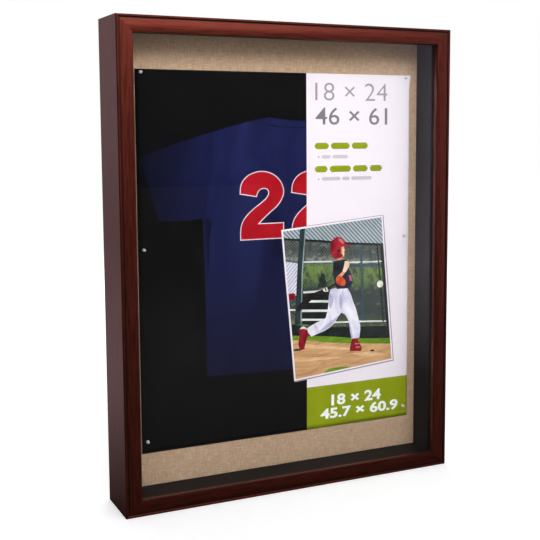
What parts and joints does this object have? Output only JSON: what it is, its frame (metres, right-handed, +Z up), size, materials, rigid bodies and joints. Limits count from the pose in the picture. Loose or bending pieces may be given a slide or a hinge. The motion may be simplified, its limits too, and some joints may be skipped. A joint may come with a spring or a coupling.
{
  "type": "jersey display frame",
  "caption": "Deep wooden shadow box with a glass front, a linen pin board and a rear panel, for showing a shirt or other keepsakes on a wall or shelf.",
  "frame": {"origin": "middle of the base, on the underside of the bottom rail", "axes": "+X across the frame to the viewer's right, +Y from the glass front to the back, +Z up"},
  "size_m": [0.489, 0.0893, 0.642],
  "materials": {
    "stained_wood": "satin lacquer over red-brown stain",
    "zinc_steel": "zinc plated",
    "turn_button_steel": "zinc plated, slightly worn",
    "hanger_steel": "nickel plated",
    "black_liner": "matt black",
    "clear_glass": "clear, polished",
    "linen": "natural plain weave",
    "soft_board": "soft and fibrous",
    "rear_board": "smooth brown hardboard",
    "printed_card": "semi-gloss print",
    "clear_plastic": "clear, moulded"
  },
  "bodies": {
    "frame": {"top_rail": "stained_wood", "bottom_rail": "stained_wood", "left_stile": "stained_wood", "right_stile": "stained_wood", "corner_nails": "zinc_steel", "glass_pane": "clear_glass", "top_liner": "black_liner", "bottom_liner": "black_liner", "left_liner": "black_liner", "right_liner": "black_liner", "turn_button_screws": "zinc_steel", "left_hanger_strap": "hanger_steel", "right_hanger_strap": "hanger_steel", "hanger_screws": "zinc_steel"},
    "back": {"linen_cover": "linen", "pin_board": "soft_board", "back_panel": "rear_board", "display_sheet": "printed_card"},
    "pin_1": {"pin_head_1": "clear_plastic", "pin_needle_1": "zinc_steel"},
    "pin_2": {"pin_head_2": "clear_plastic", "pin_needle_2": "zinc_steel"},
    "pin_3": {"pin_head_3": "clear_plastic", "pin_needle_3": "zinc_steel"},
    "pin_4": {"pin_head_4": "clear_plastic", "pin_needle_4": "zinc_steel"},
    "pin_5": {"pin_head_5": "clear_plastic", "pin_needle_5": "zinc_steel"},
    "pin_6": {"pin_head_6": "clear_plastic", "pin_needle_6": "zinc_steel"},
    "button_1": {"turn_button_1": "turn_button_steel"},
    "button_2": {"turn_button_2": "turn_button_steel"},
    "button_3": {"turn_button_3": "turn_button_steel"},
    "button_4": {"turn_button_4": "turn_button_steel"},
    "button_5": {"turn_button_5": "turn_button_steel"},
    "button_6": {"turn_button_6": "turn_button_steel"},
    "button_7": {"turn_button_7": "turn_button_steel"},
    "button_8": {"turn_button_8": "turn_button_steel"},
    "left_ring": {"left_hanger_ring": "hanger_steel"},
    "right_ring": {"right_hanger_ring": "hanger_steel"}
  },
  "joints": [
    {"name": "back_slide", "type": "slide", "parent": "frame", "child": "back", "axis": [0, 1, 0], "range_m": [0, 0.1]},
    {"name": "pin_1_pull", "type": "slide", "parent": "back", "child": "pin_1", "axis": [0, -1, 0], "range_m": [0, 0.014]},
    {"name": "pin_2_pull", "type": "slide", "parent": "back", "child": "pin_2", "axis": [0, -1, 0], "range_m": [0, 0.014]},
    {"name": "pin_3_pull", "type": "slide", "parent": "back", "child": "pin_3", "axis": [0, -1, 0], "range_m": [0, 0.014]},
    {"name": "pin_4_pull", "type": "slide", "parent": "back", "child": "pin_4", "axis": [0, -1, 0], "range_m": [0, 0.014]},
    {"name": "pin_5_pull", "type": "slide", "parent": "back", "child": "pin_5", "axis": [0, -1, 0], "range_m": [0, 0.014]},
    {"name": "pin_6_pull", "type": "slide", "parent": "back", "child": "pin_6", "axis": [0, -1, 0], "range_m": [0, 0.014]},
    {"name": "turn_button_1_turn", "type": "hinge", "parent": "frame", "child": "button_1", "pos_m": [-0.1345, 0.0431, 0.634], "axis": [0, 1, 0], "continuous": true},
    {"name": "turn_button_2_turn", "type": "hinge", "parent": "frame", "child": "button_2", "pos_m": [0.1345, 0.0431, 0.634], "axis": [0, -1, 0], "continuous": true},
    {"name": "turn_button_3_turn", "type": "hinge", "parent": "frame", "child": "button_3", "pos_m": [-0.1345, 0.0431, 0.008], "axis": [0, -1, 0], "continuous": true},
    {"name": "turn_button_4_turn", "type": "hinge", "parent": "frame", "child": "button_4", "pos_m": [0.1345, 0.0431, 0.008], "axis": [0, 1, 0], "continuous": true},
    {"name": "turn_button_5_turn", "type": "hinge", "parent": "frame", "child": "button_5", "pos_m": [-0.2365, 0.0431, 0.522], "axis": [0, -1, 0], "continuous": true},
    {"name": "turn_button_6_turn", "type": "hinge", "parent": "frame", "child": "button_6", "pos_m": [-0.2365, 0.0431, 0.12], "axis": [0, 1, 0], "continuous": true},
    {"name": "turn_button_7_turn", "type": "hinge", "parent": "frame", "child": "button_7", "pos_m": [0.2365, 0.0431, 0.522], "axis": [0, 1, 0], "continuous": true},
    {"name": "turn_button_8_turn", "type": "hinge", "parent": "frame", "child": "button_8", "pos_m": [0.2365, 0.0431, 0.12], "axis": [0, -1, 0], "continuous": true},
    {"name": "left_ring_swing", "type": "hinge", "parent": "frame", "child": "left_ring", "pos_m": [-0.2365, 0.04485, 0.452], "axis": [1, 0, 0], "range_deg": [0, 180]},
    {"name": "right_ring_swing", "type": "hinge", "parent": "frame", "child": "right_ring", "pos_m": [0.2365, 0.04485, 0.452], "axis": [1, 0, 0], "range_deg": [0, 180]}
  ]
}
